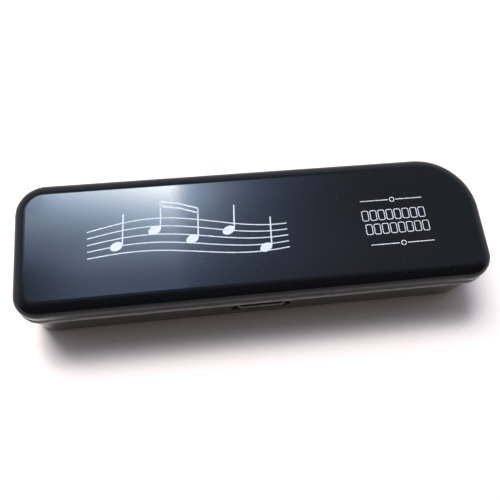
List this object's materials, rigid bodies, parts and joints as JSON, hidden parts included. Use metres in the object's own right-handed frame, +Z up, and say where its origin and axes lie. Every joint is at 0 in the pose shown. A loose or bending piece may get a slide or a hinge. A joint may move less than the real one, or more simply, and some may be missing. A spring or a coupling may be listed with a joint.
{
  "type": "harmonica case",
  "caption": "Long black moulded instrument case with a rear-hinged lid, a sprung push-button latch at the front and a flocked tray for a chromatic harmonica.",
  "frame": {"origin": "on the floor, under the middle of the closed case", "axes": "+X to the right along the case, -Y towards the front with the latch, +Y towards the hinges, +Z up"},
  "size_m": [0.225, 0.0658, 0.04],
  "materials": {
    "case_plastic": "polished blue-black moulding",
    "button_plastic": "polished black moulding",
    "guide_plastic": "plain black moulding",
    "steel": "bent strip and drawn pin",
    "screw_steel": "zinc plated",
    "spring_steel": "drawn spring wire",
    "foam": "black sponge",
    "flocked_lining": "short black flock"
  },
  "bodies": {
    "base": {"base_shell": "case_plastic", "tray_foam": "foam", "tray_lining": "flocked_lining", "recess_cushion_left": "foam", "recess_cushion_right_front": "foam", "recess_cushion_right_rear": "foam", "hinge_pin_left": "steel", "hinge_pin_right": "steel", "latch_housing": "guide_plastic", "latch_housing_screws": "screw_steel"},
    "latch": {"latch_button": "button_plastic", "latch_bolt": "steel", "latch_spring_left": "spring_steel", "latch_spring_right": "spring_steel"},
    "lid": {"lid_shell": "case_plastic", "lid_catch": "steel", "lid_catch_screws": "screw_steel", "lid_pad": "foam", "lid_lining": "flocked_lining"}
  },
  "joints": [
    {"name": "lid_hinge", "type": "hinge", "parent": "base", "child": "lid", "pos_m": [0, 0.0306, 0.0245], "axis": [-1, 0, 0], "range_deg": [0, 115]},
    {"name": "latch_press", "type": "slide", "parent": "base", "child": "latch", "axis": [0, 1, 0], "range_m": [0, 0.0015], "stiffness_N_per_m": 3000, "springref_m": -0.0007, "deforming": ["latch_spring_left", "latch_spring_right"]}
  ]
}
